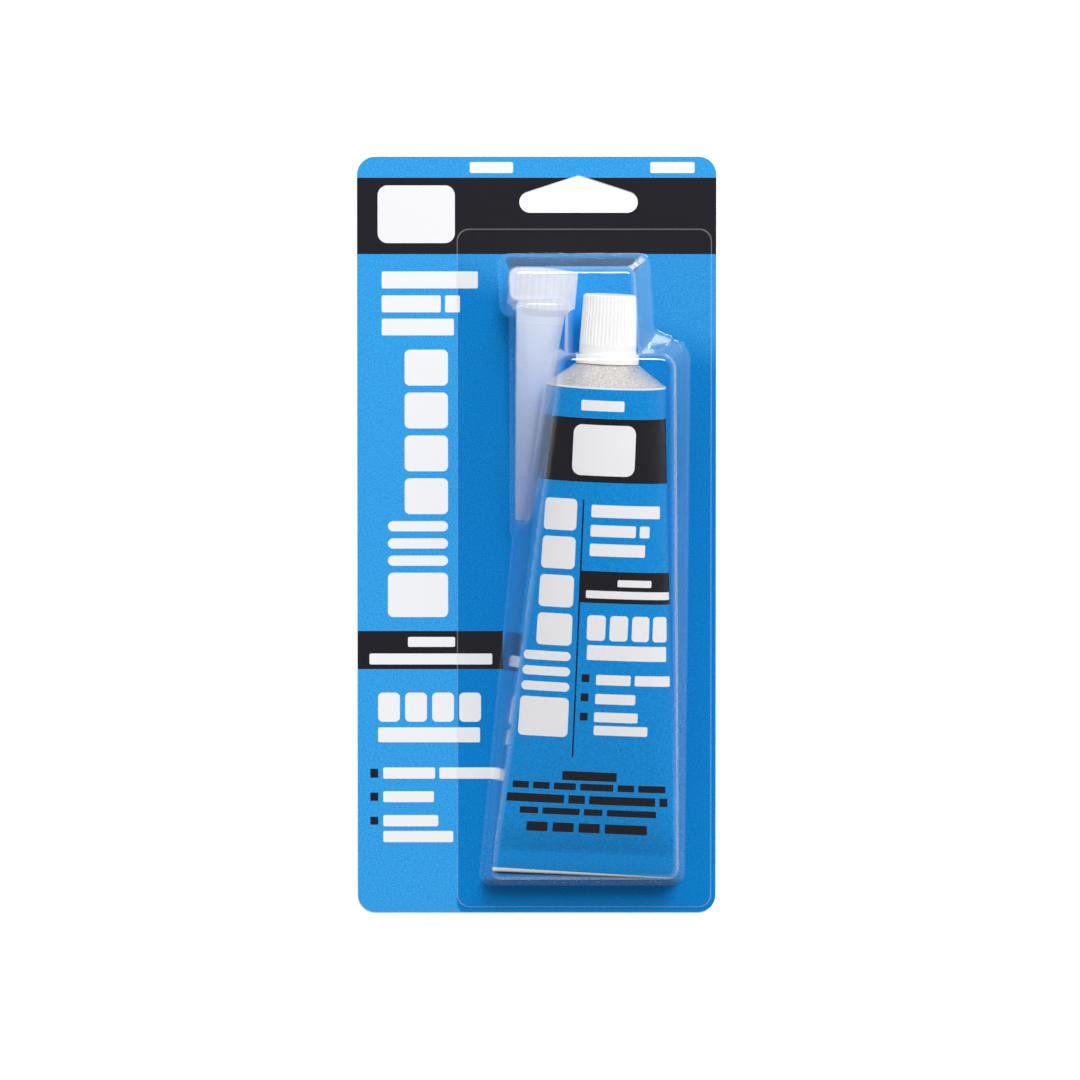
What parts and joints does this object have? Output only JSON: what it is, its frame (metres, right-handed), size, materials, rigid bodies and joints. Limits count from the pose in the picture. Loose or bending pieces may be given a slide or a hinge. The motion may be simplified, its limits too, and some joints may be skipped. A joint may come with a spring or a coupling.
{
  "type": "caulk tube in a carded blister pack",
  "caption": "Sealant squeeze tube with a ribbed screw cap and a loose cone nozzle, sealed under a clear formed blister on a printed hang card.",
  "frame": {"origin": "centre of the card's back", "axes": "+Z out of the card's front, +Y towards the hang hole, +X to the right as the front is seen"},
  "size_m": [0.108, 0.2276, 0.0383],
  "materials": {
    "backing_card": "printed and coated board, bright blue with black fields",
    "blister": "clear thermoformed film",
    "tube_body": "printed aluminium, bare at the shoulder",
    "screw_cap": "white moulded plastic",
    "nozzle": "milky translucent moulded plastic"
  },
  "bodies": {
    "root": {"backing_card": "backing_card", "blister": "blister", "tube_body": "tube_body", "screw_cap": "screw_cap", "nozzle": "nozzle"}
  },
  "joints": []
}
